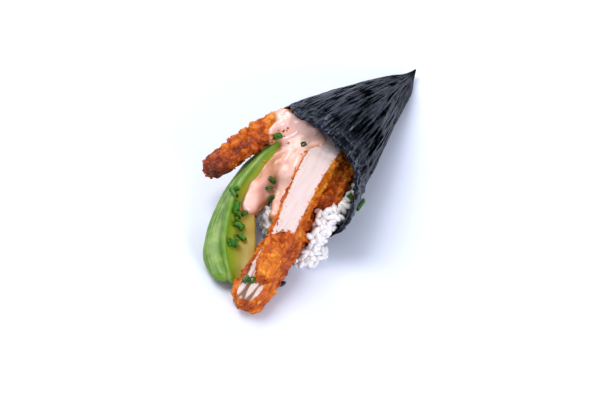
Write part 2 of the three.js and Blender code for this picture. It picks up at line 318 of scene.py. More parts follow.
# Patches a centimetre across, some satin and some smoother.
broad = cloudy_noise(nori, 110.0, 3.0)
shade = coloured(nori, fibres.outputs["Fac"], [
    (0.3, "#010204"), (0.85, "#161e2e"), (0.55, "#04060b"),
])
rough = ranged(nori, broad.outputs["Fac"], 0.35, 0.65, 0.26, 0.4)
# The moist fillings have wetted the sheet near its mouth.
wet = ranged(nori, laid_by[2].outputs["Fac"], 0.085, 0.11)
damp = ranged(nori, wet.outputs["Result"], 0.0, 1.0, 1.0, 0.33)
rough_here = worked_out(nori, "MULTIPLY", rough.outputs["Result"], damp.outputs["Result"])
# Only the streaks of pressed fibre, and the wet part, catch the light.
streaked = worked_out(nori, "MULTIPLY_ADD", broad.outputs["Fac"], 0.3, fibres.outputs["Fac"])
sheen = ranged(nori, streaked.outputs[0], 0.59, 0.84, 0.0, 0.6)
wet_sheen = worked_out(nori, "MULTIPLY_ADD", wet.outputs["Result"], 0.4, sheen.outputs["Result"])
relief = worked_out(nori, "MULTIPLY_ADD", mottle.outputs["Fac"], 0.55, fibres.outputs["Fac"])
grain_bump = node(
    nori, "ShaderNodeBump", {"Height": relief.outputs[0], "Strength": 0.8, "Distance": 0.0006}
)
into(
    nori_shader,
    Base_Color=shade.outputs["Color"],
    Roughness=rough_here.outputs[0],
    Specular_IOR_Level=wet_sheen.outputs[0],
    Normal=grain_bump.outputs["Normal"],
)
sheet.data.materials.append(nori)
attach(sheet, "root")
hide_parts("nori_wrap")

# ---- Breaded chicken ----------------------------------------------------------------------------
# Strips cut across a breaded and fried cutlet. The crust is coarse bread crumb, golden to dark
# brown, and the long upper cut faces show the pale steamed meat between its two crusts.

MM = 0.001                            # the lines and outlines of pieces are in millimetres
FRONT_UPPER = [(6.9, 10, 34.8), (12.0, -26.5, 31), (22, -77, 12.5)]
FRONT_LOWER = [(10.6, 13.5, 19), (14.9, -43.5, 15.3), (19.6, -88.5, 9.2)]
BACK = [(-6.4, 15, 29), (-12.9, 0.5, 34), (-20.9, -13.5, 35), (-35.4, -44.5, 21.5)]
SHORT = [(14.6, 15.5, 28), (20.6, -8.5, 25), (23.1, -29.5, 17)]
# Half outline of a strip's section, across and down, with the cut face on top.
SECTION = [
    (0, 0), (0.42, 0), (0.84, 0), (1, -0.12), (1.05, -0.35), (1.06, -0.6), (1, -0.86), (0.8, -1),
    (0.3, -1),
]
CAP_RINGS = 4                         # rings that close the end inside the cone
RING_STEP = 0.5                       # spacing of the other rings, in millimetres
LUMP = 0.0014                         # height of the crust's clumps
CRUMB = 0.0003                        # height of its single crumbs
LUMP_SIZE = 0.0037                    # widths of the clumps, the small clumps and the crumbs
SMALL_LUMP_SIZE = 0.0019
CRUMB_SIZE = 0.0010
PULLED = 0.0012                       # how far the clumps are pulled out of line
FLAP = 0.0010                         # height of the raised flap of meat near the mouth
FLAP_FROM = 70                        # where it begins, in millimetres from the free end
FIBRE = 0.00006                       # heights of the meat's fibres and tears
TEAR = 0.0004
SPLIT = 0.0016                        # depth of the splits in the lower strip's meat
MEAT_SUNK = 0.0003                    # how far the cut face lies under its crust
# On the upper strip, in millimetres from its free end: where the crust over its end stops, and
# where the rim of crust on its left side begins.
END_CRUST = 27.0
LEFT_RIM = 70


def evenly(points, shares):
    """Places and directions at shares of a smooth line's length, and that length."""
    p = np.array(points, float)
    p = np.vstack([2 * p[0] - p[1], p, 2 * p[-1] - p[-2]])
    t = np.linspace(0, len(p) - 3, 80 * (len(p) - 3) + 1)
    i = np.minimum(t.astype(int), len(p) - 4)
    f = (t - i)[:, None]
    a, b, c, d = p[i], p[i + 1], p[i + 2], p[i + 3]
    dense = 0.5 * (
        2 * b + (c - a) * f + (2 * a - 5 * b + 4 * c - d) * f**2 + (3 * b - a - 3 * c + d) * f**3
    )
    reach = np.concatenate([[0], np.cumsum(np.linalg.norm(np.diff(dense, axis=0), axis=1))])

    def at_reach(reached):
        return np.stack([np.interp(reached, reach, dense[:, k]) for k in range(3)], 1)

    wanted = np.clip(shares, 0, 1) * reach[-1]
    near = 1e-2 * reach[-1]
    way = at_reach(wanted + near) - at_reach(wanted - near)
    return at_reach(wanted), way / np.linalg.norm(way, axis=1, keepdims=True), reach[-1]


def drawn_out(name, around, rings):
    """A ball to draw out into a long piece, with each vertex's ring and turn round it."""
    bpy.ops.object.select_all(action="DESELECT")
    bpy.ops.mesh.primitive_uv_sphere_add(segments=around, ring_count=rings, radius=1)
    piece = bpy.context.object
    piece.name = name
    ball = points_of(piece)
    ring = np.rint(np.arccos(np.clip(ball[:, 2], -1, 1)) / math.pi * rings).astype(int)
    turned = (np.arctan2(ball[:, 1], ball[:, 0]) / math.tau) % 1
    return piece, ring, turned


def round_outline(outline, turned):
    """Places on smooth closed outlines, one outline per vertex, at each vertex's turn."""
    count = outline.shape[1]
    t = turned * count
    i = np.floor(t).astype(int)
    f = (t - i)[:, None]
    rows = np.arange(len(turned))
    a, b, c, d = (outline[rows, (i + k) % count] for k in (-1, 0, 1, 2))
    return 0.5 * (
        2 * b + (c - a) * f + (2 * a - 5 * b + 4 * c - d) * f**2 + (3 * b - a - 3 * c + d) * f**3
    )


def recalculate(piece):
    """Turns all of a piece's faces outward."""
    select_only(piece)
    bpy.ops.object.mode_set(mode="EDIT")
    bpy.ops.mesh.select_all(action="SELECT")
    bpy.ops.mesh.normals_make_consistent(inside=False)
    bpy.ops.object.mode_set(mode="OBJECT")


def strip(
    name, path, thickness, width, roll, closes, taper, around, stringy, crust_where, toasting
):
    """A strip of cutlet along a line down the middle of its upper cut face.

    Sizes are in millimetres. It closes over its last few, and taper is its end's share of its
    thickness. Roll turns the cut face, in degrees. Toasting says how brown it is along its length.
    """
    length = evenly(path, [0, 1])[2]
    rings = int(length / RING_STEP) + CAP_RINGS
    piece, ring, turned = drawn_out(name, around, rings)
    k = np.arange(rings + 1)
    body = np.clip((k - CAP_RINGS) / (rings - CAP_RINGS), 0, 1)
    left = (1 - body) * length
    # Rings crowd together toward the rounded end.
    near_end = np.clip(left / closes, 0, 1)
    body = 1 - np.where(left < closes, closes * (1 - np.sqrt(1 - near_end**2)), left) / length
    left = (1 - body) * length
    closing = np.sqrt(np.clip(1 - (np.clip(closes - left, 0, None) / closes) ** 2, 0, 1))
    at, way, _ = evenly(path, body)
    side = np.cross([0.0, 0.0, 1.0], way)
    side /= np.linalg.norm(side, axis=1, keepdims=True)
    up = np.cross(way, side)
    tilt = math.radians(roll)
    side, up = (
        side * math.cos(tilt) + up * math.sin(tilt),
        up * math.cos(tilt) - side * math.sin(tilt),
    )
    half = thickness / 2 * closing * (1 + (taper - 1) * body)
    deep = width * np.clip(closing * 1.6, 0, 1)
    sunk = (width - deep) / 2
    opened = np.clip(k / CAP_RINGS, 0, 1)
    pq = np.array(SECTION + [(-p, q) for p, q in SECTION[:0:-1]])
    p_all = pq[None, :, 0] * opened[:, None]
    q_all = -0.5 + (pq[None, :, 1] + 0.5) * opened[:, None]
    outline = (
        at[:, None, :]
        + side[:, None, :] * (p_all * half[:, None])[:, :, None]
        + up[:, None, :] * (q_all * deep[:, None] - sunk[:, None])[:, :, None]
    )
    flat = np.stack([p_all * half[:, None], q_all * deep[:, None] - sunk[:, None], 0 * p_all], 2)
    place = round_outline(outline[ring], turned) * MM
    section = round_outline(flat[ring], turned)
    place_points(piece, place)
    recalculate(piece)
    outward = normals_of(piece)
    share = body[ring]
    left_here = (1 - share) * length
    crust, soiled = crust_where(section[:, 0], half[ring], left_here, place)
    face_up = np.clip(np.sum(outward * up[ring], axis=1) * 3 - 1.6, 0, 1)
    crust = np.clip(np.maximum(crust, 1 - face_up), 0, 1)
    pulled = place + PULLED * np.stack([ripple(place, 0.004, k) for k in (20.0, 31.0, 42.0)], 1)
    lumps = crumbs_at(pulled, LUMP_SIZE) * 0.6 + crumbs_at(pulled, SMALL_LUMP_SIZE, 4.0) * 0.4
    flakes = crumbs_at(place, CRUMB_SIZE, 9.0)
    proud = crust * (LUMP * (lumps - 0.28) * 2.2 + CRUMB * (flakes - 0.4))
    along = share * length
    slanted = section[:, 0] * 1.1 + 0.08 * along
    fibre = ripple(np.stack([slanted, along * 0.12, along * 0], 1), 1.0, 2.0)
    tear = ripple(np.stack([section[:, 0] * 0.35, along * 0.07, along * 0], 1), 1.0, 6.0)
    split = np.clip(0.32 - np.abs(tear - 0.12), 0, 1) * stringy
    flap = np.clip((left_here - FLAP_FROM + 1.5 * ripple(place, 0.004, 6.0)) / 1.2, 0, 1)
    flap *= np.clip((section[:, 0] + 5.5) / 1.0, 0, 1) * (1 - stringy)
    meat = FLAP * flap + FIBRE * fibre * (1 + 4 * stringy) + TEAR * tear - MEAT_SUNK - SPLIT * split
    meat *= 1 - crust
    place_points(piece, place + outward * (proud + meat)[:, None])
    remember(piece, "crust", crust)
    remember(piece, "proud", np.clip(1.3 * lumps + 0.4 * flakes, 0, 1))
    # Splits are painted dark here, as painted shade in the gaps; the rest is the meat's own tone.
    remember(piece, "fibre", np.clip(0.6 + (0.18 + 0.2 * stringy) * fibre - 3.0 * split, 0, 1))
    remember(piece, "soiled", np.clip(soiled, 0, 1))
    browning = np.interp(share, *zip(*toasting))
    toast = browning + 0.4 * ripple(place, 0.011, 1.0) + 0.25 * ripple(place, 0.004, 8.0)
    remember(piece, "toast", np.clip(toast, 0, 1))
    smooth(piece)
    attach(piece, "root")
    return piece


def upper_crust(x, half, left, place):
    """Crust along the cut face's right side, its left side lower down, and over its end."""
    edge = 1.1 * ripple(place, 0.0035, 3.0) + 0.7 * ripple(place, 0.0013, 5.0)
    right = 0.9 - (half - x) + 0.8 * edge
    thin = 1.6 * np.clip((LEFT_RIM - left) / 25, 0, 1)
    rest = thin - (half + x) + 0.6 * edge
    end = END_CRUST + 0.5 * x - left + 2.2 * edge
    reach = np.maximum(np.maximum(right, rest), end)
    return np.clip(reach / 0.8, 0, 1), 1 + reach / 5


def lower_crust(x, half, left, place):
    """A thin rim of crust round the cut face, and meat right to its end."""
    edge = 0.6 * ripple(place, 0.003, 3.0) + 0.5 * ripple(place, 0.0012, 5.0)
    reach = 2.7 - (half - np.abs(x)) + edge
    return np.clip(reach / 0.7, 0, 1), 0.8 + reach / 4


def all_crust(x, half, left, place):
    """Crust everywhere."""
    return np.ones(len(x)), np.ones(len(x))


strips = {
    "katsu_front_upper": strip(
        "chicken_strip_upper", FRONT_UPPER, thickness=16.4, width=13.5, roll=-3, closes=10,
        taper=0.62, around=128, stringy=0.0, crust_where=upper_crust,
        toasting=[
            (0, 0.5), (0.3, 0.36), (0.62, 0.4), (0.74, 0.68), (0.85, 0.5), (0.95, 0.55), (1, 0.65),
        ],
    ),
    "katsu_front_lower": strip(
        "chicken_strip_lower", FRONT_LOWER, thickness=16.2, width=10, roll=4, closes=9,
        taper=1, around=128, stringy=1.0, crust_where=lower_crust,
        toasting=[(0, 0.5), (0.5, 0.62), (0.8, 0.5), (1, 0.5)],
    ),
    "katsu_back": strip(
        "chicken_strip_back", BACK, thickness=12.6, width=8.5, roll=-8, closes=9,
        taper=0.8, around=120, stringy=0.0, crust_where=all_crust,
        toasting=[(0, 0.25), (0.25, 0.3), (0.5, 0.5), (0.75, 0.72), (1, 0.85)],
    ),
    "katsu_short": strip(
        "chicken_strip_short", SHORT, thickness=9, width=9, roll=-10, closes=5,
        taper=1, around=96, stringy=0.0, crust_where=all_crust,
        toasting=[(0, 0.42), (1, 0.55)],
    ),
}

# Deep-fried bread crumb and steamed chicken in one skin: crust colours follow how long each crumb
# browned, and the meat is pale, moist and faintly pink, with cream next to the crust. Painted
# shade darkens the hollows between the crust's clumps and the splits in the meat.
breaded, breaded_shader = finish_named("fried_crumb_and_chicken", IOR=1.45, Specular_IOR_Level=0.35)
place_in = node(breaded, "ShaderNodeTexCoord")
crusted = node(breaded, "ShaderNodeAttribute", attribute_name="crust")
standing = node(breaded, "ShaderNodeAttribute", attribute_name="proud")
browned = node(breaded, "ShaderNodeAttribute", attribute_name="toast")
stringy = node(breaded, "ShaderNodeAttribute", attribute_name="fibre")
# Single crumbs, about a millimetre across, each browned a little differently.
each = node(breaded, "ShaderNodeTexVoronoi", {"Vector": place_in.outputs["Object"], "Scale": 800.0})
each_tone = node(breaded, "ShaderNodeSeparateColor", {"Color": each.outputs["Color"]})
specks = cloudy_noise(breaded, 1400.0, 3.0)
mixed = worked_out(breaded, "MULTIPLY", browned.outputs["Fac"], 0.7)
varied = worked_out(breaded, "MULTIPLY_ADD", each_tone.outputs["Red"], 0.13, mixed.outputs[0])
darkened = worked_out(breaded, "MULTIPLY_ADD", specks.outputs["Fac"], 0.22, varied.outputs[0])
# The hollows between the clumps are painted darker than their tops, as painted shade.
hollow_shade = worked_out(breaded, "MULTIPLY_ADD", standing.outputs["Fac"], -0.3, darkened.outputs[0])
crust_colour = coloured(breaded, hollow_shade.outputs[0], [
    (0.05, "#e8a63e"), (0.85, "#361003"), (0.22, "#d67812"), (0.4, "#bd5206"), (0.62, "#832f04"),
])
# The meat's own pale tone, and dark brown in its splits as painted shade.
meat_colour_and_split_shade = coloured(breaded, stringy.outputs["Fac"], [
    (0.05, "#7c5b48"), (0.6, "#dfcac7"), (0.3, "#cbb0a4"),
])
edge_colour = coloured(breaded, crusted.outputs["Fac"], [
    (0.0, "#ffffff"), (0.6, "#c98a3c"), (0.25, "#f3e2c4"),
])
creamy = node(
    breaded,
    "ShaderNodeMix",
    {0: 1.0, 6: meat_colour_and_split_shade.outputs["Color"], 7: edge_colour.outputs["Color"]},
    data_type="RGBA",
    blend_type="MULTIPLY",
)
where = ranged(breaded, crusted.outputs["Fac"], 0.25, 0.75)
# Loose crumbs and oil smear the meat beside the crust.
near_crust = node(breaded, "ShaderNodeAttribute", attribute_name="soiled")
dotted = cloudy_noise(breaded, 750.0, 2.0)
dots = worked_out(breaded, "MULTIPLY_ADD", near_crust.outputs["Fac"], 0.32, dotted.outputs["Fac"])
dot_here = ranged(breaded, dots.outputs[0], 0.84, 0.93)
covered = worked_out(breaded, "MAXIMUM", where.outputs["Result"], dot_here.outputs["Result"])
skin = node(
    breaded,
    "ShaderNodeMix",
    {0: covered.outputs[0], 6: creamy.outputs[2], 7: crust_colour.outputs["Color"]},
    data_type="RGBA",
)
dry = ranged(breaded, specks.outputs["Fac"], 0.3, 0.7, 0.35, 0.62)
pitted = node(
    breaded,
    "ShaderNodeBump",
    {"Height": specks.outputs["Fac"], "Strength": 0.6, "Distance": 0.00025},
)
into(
    breaded_shader,
    Base_Color=skin.outputs[2],
    Roughness=dry.outputs["Result"],
    Normal=pitted.outputs["Normal"],
)
for solid, piece in strips.items():
    piece.data.materials.append(breaded)
    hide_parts(solid)

# ---- Avocado ------------------------------------------------------------------------------------
# Two long slices of a ripe quarter, fanned one over the other. The peeled outside is green, with a
# painted sheen that makes it paler; the flesh turns from green to butter yellow toward the stone
# side, with a painted highlight along its outer edge. It is moist and slightly oily.

SLICES = {
    "avocado_over": (
        [
            (-9.4, 7.5, 30), (-14.4, -18.5, 28), (-14.9, -44.5, 21.5), (-5.9, -66.5, 12.5),
            (9.6, -82, 6),
        ],
        [
            (-1.4, 7.5, 30), (-3.4, -16.5, 25), (-7.2, -36.5, 17.5), (-3.4, -46.5, 14),
            (6.8, -60.5, 10), (13.6, -77.5, 5.5),
        ],
    ),
    "avocado_under": (
        [
            (-14.4, 3.5, 22), (-20.4, -25.5, 21), (-18.9, -51.5, 14.3), (-10.6, -73, 8.4),
            (1.8, -83.5, 5.2),
        ],
        [(-4.4, 5.5, 22), (-8.4, -22.5, 18), (-6.4, -48.5, 10), (3.1, -67.5, 6), (9.4, -78.5, 5)],
    ),
}
SLICE_OUTER = 6.5                     # thickness at the side the skin was on, in millimetres
SLICE_INNER = 3.5                     # and at the stone side
SLICE_LONG = 95                       # length of a slice, in millimetres
SLICE_RIDGE = 0.00012                 # height of the knife's ridges along it
SLICE_DENT = 0.0003                   # depth of its broad dents


def slice_of(name, outer, inner, peel_up, around, rings):
    """A slice between the two edges of its upper face: a cut, or with peel_up the peeled side."""
    piece, ring, turned = drawn_out(name, around, rings)
    k = np.arange(rings + 1)
    u = 0.5 - 0.5 * np.cos(math.pi * (k / rings))
    u = 0.35 * u + 0.65 * k / rings
    o, o_way, _ = evenly(outer, u)
    e, e_way, _ = evenly(inner, u)
    way = o_way + e_way
    way /= np.linalg.norm(way, axis=1, keepdims=True)
    span = np.linalg.norm(e - o, axis=1)
    over = (e - o) / span[:, None]
    down = np.cross(way, over)
    down *= np.where(down[:, 2] > 0, -1, 1)[:, None]
    from_end = np.minimum(u, 1 - u)
    end = np.minimum(1, np.sqrt(from_end * 7 + 0.02))
    closed = np.clip(np.sqrt(np.clip(from_end * 28, 0, 1)), 0, 1)
    thick = SLICE_OUTER * end
    thin = SLICE_INNER * end
    one = np.ones_like(u)
    # Once round the section, across and down: upper face, stone side, underside and skin side.
    ring_points = [
        (-0.5 * one, -0.1 * one), (0.3 * one, -0.35 * one), (1.5 * one, (0.25 - peel_up) * one),
        (span * 0.35, (0.75 - 2.4 * peel_up) * one), (span * 0.7, (0.5 - 1.6 * peel_up) * one),
        (span * 0.95, 0.1 * one),
        (span + 0.4, 0.5 * one), (span + 0.6, thin * 0.6), (span, thin),
        (span * 0.65, (thin + thick) * 0.5 + 0.3), (span * 0.3, thick), (0.6 * one, thick * 1.02),
        (-1.6 * end, thick * 0.78), (-2.1 * end, thick * 0.45), (-1.4 * end, thick * 0.12),
    ]
    middle = o + over * (span * 0.4)[:, None] + down * (thick * 0.5)[:, None]
    outline = np.stack([o + over * a[:, None] + down * b[:, None] for a, b in ring_points], 1)
    outline = middle[:, None, :] + (outline - middle[:, None, :]) * closed[:, None, None]
    inward = np.stack([np.clip(a / span, 0, 1) for a, _ in ring_points], 1)
    peel = np.tile([0.9, 0.55, 0, 0, 0, 0, 0, 0, 0, 0, 0, 0.6, 1, 1, 1], (rings + 1, 1))
    peel[:, :6] = np.maximum(peel[:, :6], peel_up)
    marks = np.stack([inward, peel, 0 * peel], 2)
    place = round_outline(outline[ring], turned) * MM
    marked = round_outline(marks[ring], turned)
    place_points(piece, place)
    recalculate(piece)
    outward = normals_of(piece)
    along = u[ring] * SLICE_LONG
    ridges = ripple(np.stack([turned * 22, along * 0.02, along * 0], 1), 1.0, 4.0)
    dents = ripple(place, 0.007, 2.0)
    place_points(piece, place + outward * (SLICE_RIDGE * ridges + SLICE_DENT * dents)[:, None])
    remember(piece, "inward", np.clip(marked[:, 0], 0, 1))
    remember(piece, "peel", np.clip(marked[:, 1], 0, 1))
    smooth(piece)
    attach(piece, "root")
    return piece


def see_into(shader, weight, depth, reach):
    """Lets light into a material, to a depth in metres, with red, green and blue's share of it."""
    shader.inputs["Subsurface Weight"].default_value = weight
    shader.inputs["Subsurface Scale"].default_value = depth
    shader.inputs["Subsurface Radius"].default_value = reach


# Ripe avocado flesh: deep green under the skin, yellow toward the stone, with a soft oily shine.
flesh, flesh_shader = finish_named("ripe_avocado", IOR=1.45, Roughness=0.38)
see_into(flesh_shader, 0.12, 0.002, (0.6, 1.0, 0.2))
inward = node(flesh, "ShaderNodeAttribute", attribute_name="inward")
peeled = node(flesh, "ShaderNodeAttribute", attribute_name="peel")
# Soft mottling a few millimetres across, and fine pores.
cloudy = cloudy_noise(flesh, 220.0, 4.0)
pores = cloudy_noise(flesh, 1300.0, 3.0)
shifted = worked_out(flesh, "MULTIPLY_ADD", cloudy.outputs["Fac"], 0.3, inward.outputs["Fac"])
# Deep green to yellow toward the stone; the light green at the very edge is a painted highlight.
flesh_colour = coloured(flesh, shifted.outputs[0], [
    (0.1, "#84ac38"), (0.98, "#b39a40"), (0.2, "#668c08"), (0.42, "#84900a"), (0.7, "#a08e22"),
])
# The peeled side's green, painted paler as a painted sheen.
peel_colour_and_sheen = coloured(flesh, cloudy.outputs["Fac"], [
    (0.3, "#507c1c"), (0.7, "#84a24a"), (0.5, "#698f2e"),
])
green = node(
    flesh,
    "ShaderNodeMix",
    {0: peeled.outputs["Fac"], 6: flesh_colour.outputs["Color"], 7: peel_colour_and_sheen.outputs["Color"]},
    data_type="RGBA",
)
porous = node(
    flesh, "ShaderNodeBump", {"Height": pores.outputs["Fac"], "Strength": 0.25, "Distance": 0.0002}
)
into(flesh_shader, Base_Color=green.outputs[2], Normal=porous.outputs["Normal"])

slices = {}
for solid, (outer_line, inner_line) in SLICES.items():
    piece = slice_of(
        solid.replace("avocado", "avocado_slice"),
        outer_line,
        inner_line,
        peel_up=float(solid == "avocado_under"),
        around=96,
        rings=190,
    )
    piece.data.materials.append(flesh)
    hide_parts(solid)
    slices[solid] = piece

# ---- Sauce --------------------------------------------------------------------------------------
# A thick pink mayonnaise sauce, poured over the fillings at the mouth. It lies on them in a soft
# coat with round edges, thin enough in places to look tan over the avocado, and runs down beside
# the upper strip.

# Lines of the pour: x, y, half width and depth, in millimetres.
POURS = [
    [(-18.4, -4.5, 4, 1.6), (-10.4, -6.5, 8, 2.6), (-2.4, -6.5, 7.5, 3.0), (4, -6.5, 4, 1.8)],
    [(-4.4, -9.5, 8, 2.4), (-1.6, -20.5, 5.6, 2.0), (1.6, -32.5, 4.0, 2.0), (4.6, -41.0, 2.4, 1.8)],
    [(-5.5, -11.5, 7, 1.8), (-6.2, -25.5, 5.6, 0.5), (-8.2, -38, 4.6, 1.8), (-7, -46, 3.6, 2.6)],
    [(-14.4, -0.5, 1.8, 1.8), (-15.4, -7.5, 2.4, 2.6), (-16.4, -15.5, 1.8, 1.6)],
    [(-0.6, -11, 2, 3.4), (0.2, -20, 1.9, 3.8), (1.9, -29, 1.8, 3.4), (4.4, -38, 1.5, 2.4)],
]
POUR_STEP = 0.0004                    # spacing of the sauce's mesh
POUR_X = (-0.030, 0.018)              # where it is worked out
POUR_Y = (-0.060, 0.010)
UNDER = 0.003                         # how far the sauce sinks in between the fillings


def tree_of(*pieces_in):
    """One search tree over the faces of several pieces."""
    places = []
    faces = []
    for piece in pieces_in:
        first = len(places)
        places.extend(v.co.copy() for v in piece.data.vertices)
        faces.extend([first + i for i in f.vertices] for f in piece.data.polygons)
    return BVHTree.FromPolygons(places, faces)


xs = np.arange(*POUR_X, POUR_STEP)
ys = np.arange(*POUR_Y, POUR_STEP)
gx, gy = np.meshgrid(xs, ys, indexing="ij")
under = tree_of(*strips.values(), *slices.values(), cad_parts["rice"])
ground = np.full(gx.shape, 0.002)
for i in range(gx.shape[0]):
    for j in range(gx.shape[1]):
        hit = under.ray_cast(Vector((gx[i, j], gy[i, j], 0.09)), Vector((0, 0, -1)))
        if hit[0] is not None:
            ground[i, j] = hit[0].z


def blurred(field, times):
    """A grid of numbers, evened out with its neighbours a number of times."""
    for _ in range(times):
        padded = np.pad(field, 1, mode="edge")
        field = (
            padded[1:-1, 1:-1] * 2
            + padded[:-2, 1:-1]
            + padded[2:, 1:-1]
            + padded[1:-1, :-2]
            + padded[1:-1, 2:]
        ) / 6
    return field


def widest(field, reach, pick_one):
    """A grid of numbers, each the highest or lowest within reach."""
    for axis in (0, 1):
        padded = np.pad(field, reach, mode="edge")
        size = field.shape[axis]
        rows = [padded.take(range(k, k + size), axis=axis) for k in range(2 * reach + 1)]
        other = slice(reach, -reach)
        field = pick_one([r[:, other] if axis == 0 else r[other, :] for r in rows], axis=0)
    return field


# The sauce bridges the narrow gaps between the fillings.
BRIDGE = 11                           # half the width it bridges, in steps
ground = np.maximum(ground, widest(widest(ground, BRIDGE, np.max), BRIDGE, np.min))
depth = np.full(gx.shape, -9.0)
for pour in POURS:
    marks = np.array(pour, float)
    for t in np.linspace(0, len(marks) - 1, 60):
        i = min(int(t), len(marks) - 2)
        x, y, half, deep = marks[i] + (marks[i + 1] - marks[i]) * (t - i)
        r = np.hypot(gx / MM - x, gy / MM - y) / half
        cap = np.where(r < 1, deep * np.sqrt(np.clip(1 - r**3, 0, 1)), -2.2 * (r - 1) * half)
        depth = np.maximum(depth, cap)
grid = np.stack([gx, gy, 0 * gx], 2).reshape(-1, 3)
sway = ripple(grid, 0.006, 3.0).reshape(gx.shape)
folds = ripple(grid, (0.0022, 0.0038, 1), 8.0).reshape(gx.shape)
depth = blurred(depth, 2) + 0.6 * sway + 0.6 * folds
level = np.maximum(blurred(ground, 14), blurred(ground, 2) - 0.0006)
top = level + np.clip(depth, -2.5, 9) * MM
top = blurred(np.where(depth > 0.2, np.maximum(top, ground + 0.0004), top), 3)
bottom = np.minimum(level, blurred(ground, 2)) - UNDER
keep = depth > -1.2
index = -np.ones(gx.shape, int)
index[keep] = np.arange(keep.sum())
count = int(keep.sum())
places = np.concatenate([
    np.stack([gx[keep], gy[keep], top[keep]], 1),
    np.stack([gx[keep], gy[keep], np.minimum(bottom[keep], top[keep] - 0.0004)], 1),
])
# An edge that only one face has lies on the rim, where a wall joins top and bottom.
quads = []
sides = {}
for i in range(gx.shape[0] - 1):
    for j in range(gx.shape[1] - 1):
        c = [index[i, j], index[i + 1, j], index[i + 1, j + 1], index[i, j + 1]]
        if min(c) < 0:
            continue
        quads.append(c)
        quads.append([k + count for k in reversed(c)])
        for a, b in zip(c, c[1:] + c[:1]):
            if (b, a) in sides:
                del sides[(b, a)]
            else:
                sides[(a, b)] = True
for a, b in sides:
    quads.append([b, a, a + count, b + count])
mesh = bpy.data.meshes.new("poured_sauce")
mesh.from_pydata(places.tolist(), [], quads)
mesh.update()
poured = bpy.data.objects.new("poured_sauce", mesh)
bpy.context.scene.collection.objects.link(poured)
deep_here = np.concatenate([depth[keep], depth[keep]])
remember(poured, "depth", np.clip(deep_here / 3.0, 0, 1))
recalculate(poured)
bpy.ops.object.mode_set(mode="EDIT")
bpy.ops.mesh.select_all(action="SELECT")
bpy.ops.mesh.delete_loose()
bpy.ops.object.mode_set(mode="OBJECT")
smooth(poured)

# Egg sauce with chilli: smooth, glossy, pale salmon pink where deep and tan where thin.
mayonnaise, mayonnaise_shader = finish_named("chilli_mayonnaise", IOR=1.46, Roughness=0.2)
see_into(mayonnaise_shader, 0.2, 0.0015, (1.0, 0.5, 0.35))
deepness = node(mayonnaise, "ShaderNodeAttribute", attribute_name="depth")
swirl = cloudy_noise(mayonnaise, 160.0, 3.0)
stirred = worked_out(mayonnaise, "MULTIPLY_ADD", swirl.outputs["Fac"], 0.5, deepness.outputs["Fac"])
sauce_colour = coloured(mayonnaise, stirred.outputs[0], [
    (0.2, "#a98450"), (1.0, "#f9cfc3"), (0.45, "#c98f6c"), (0.75, "#eeb4a2"),
])
into(mayonnaise_shader, Base_Color=sauce_colour.outputs["Color"])
poured.data.materials.append(mayonnaise)
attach(poured, "root")
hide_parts("sauce")

# ---- Rice ---------------------------------------------------------------------------------------
# Short-grain sushi rice, sticky and pressed into one heap: loose plump grains lie all over a
# packed core.

CORE_SHRINK = 0.0013                  # how far the core lies under the heap's outline
GRAIN = (0.0056, 0.0029, 0.0026)      # length, width and height of a cooked grain
GRAINS = 2000                         # the most there can be
GRAIN_GAP = 0.0018                    # least distance between the middles of two grains
GRAIN_CLEAR = 0.0011                  # least distance from a grain's middle to another piece
OVERHEAD = 0.0016                     # room that a grain needs above it
GRAIN_LOW = 0.0012                    # least height of a grain's middle off the table
LAST_GRAIN = 0.008                    # the y beyond which no grain lies, inside the cone
RISES = (0.0003, 0.0012, 0.0026)      # how far grains stand off the core

heap = copy_of("rice", "rice_core")
use_modifiers(
    heap,
    ("REMESH", {"mode": "VOXEL", "voxel_size": 0.0011}),
    ("DISPLACE", {"strength": -CORE_SHRINK, "mid_level": 0.0}),
    ("SMOOTH", {"factor": 0.5, "iterations": 3}),
)
smooth(heap)


def joined(name, kinds, placings):
    """One mesh of many copies: each placing is a kind, a 3 by 3 turn-and-scale and a place."""
    places = []
    faces = []
    first = 0
    for kind, turn_scale, at in placings:
        shape, shape_faces = kinds[kind]
        places.append(shape @ np.asarray(turn_scale).T + np.asarray(at))
        faces.append(shape_faces + first)
        first += len(shape)
    mesh = bpy.data.meshes.new(name)
    mesh.from_pydata(np.concatenate(places).tolist(), [], np.concatenate(faces).tolist())
    mesh.update()
    piece = bpy.data.objects.new(name, mesh)
    bpy.context.scene.collection.objects.link(piece)
    return piece


def triangles_of(piece):
    """A modelled shape's vertices and triangles, taken off the scene."""
    use_modifiers(piece, ("TRIANGULATE", {}))
    shape = points_of(piece)
    faces = np.array([list(f.vertices) for f in piece.data.polygons])
    bpy.data.objects.remove(piece)
    return shape, faces


bpy.ops.object.select_all(action="DESELECT")
bpy.ops.mesh.primitive_uv_sphere_add(segments=8, ring_count=7, radius=0.5)
one_grain = bpy.context.object
ball = points_of(one_grain)
ball = ball[:, [2, 0, 1]] * np.array(GRAIN)
ball[:, 2] += 20 * ball[:, 0] ** 2
ball[:, 1] *= 1 + 30 * ball[:, 0]
place_points(one_grain, ball)
grain_kind = triangles_of(one_grain)

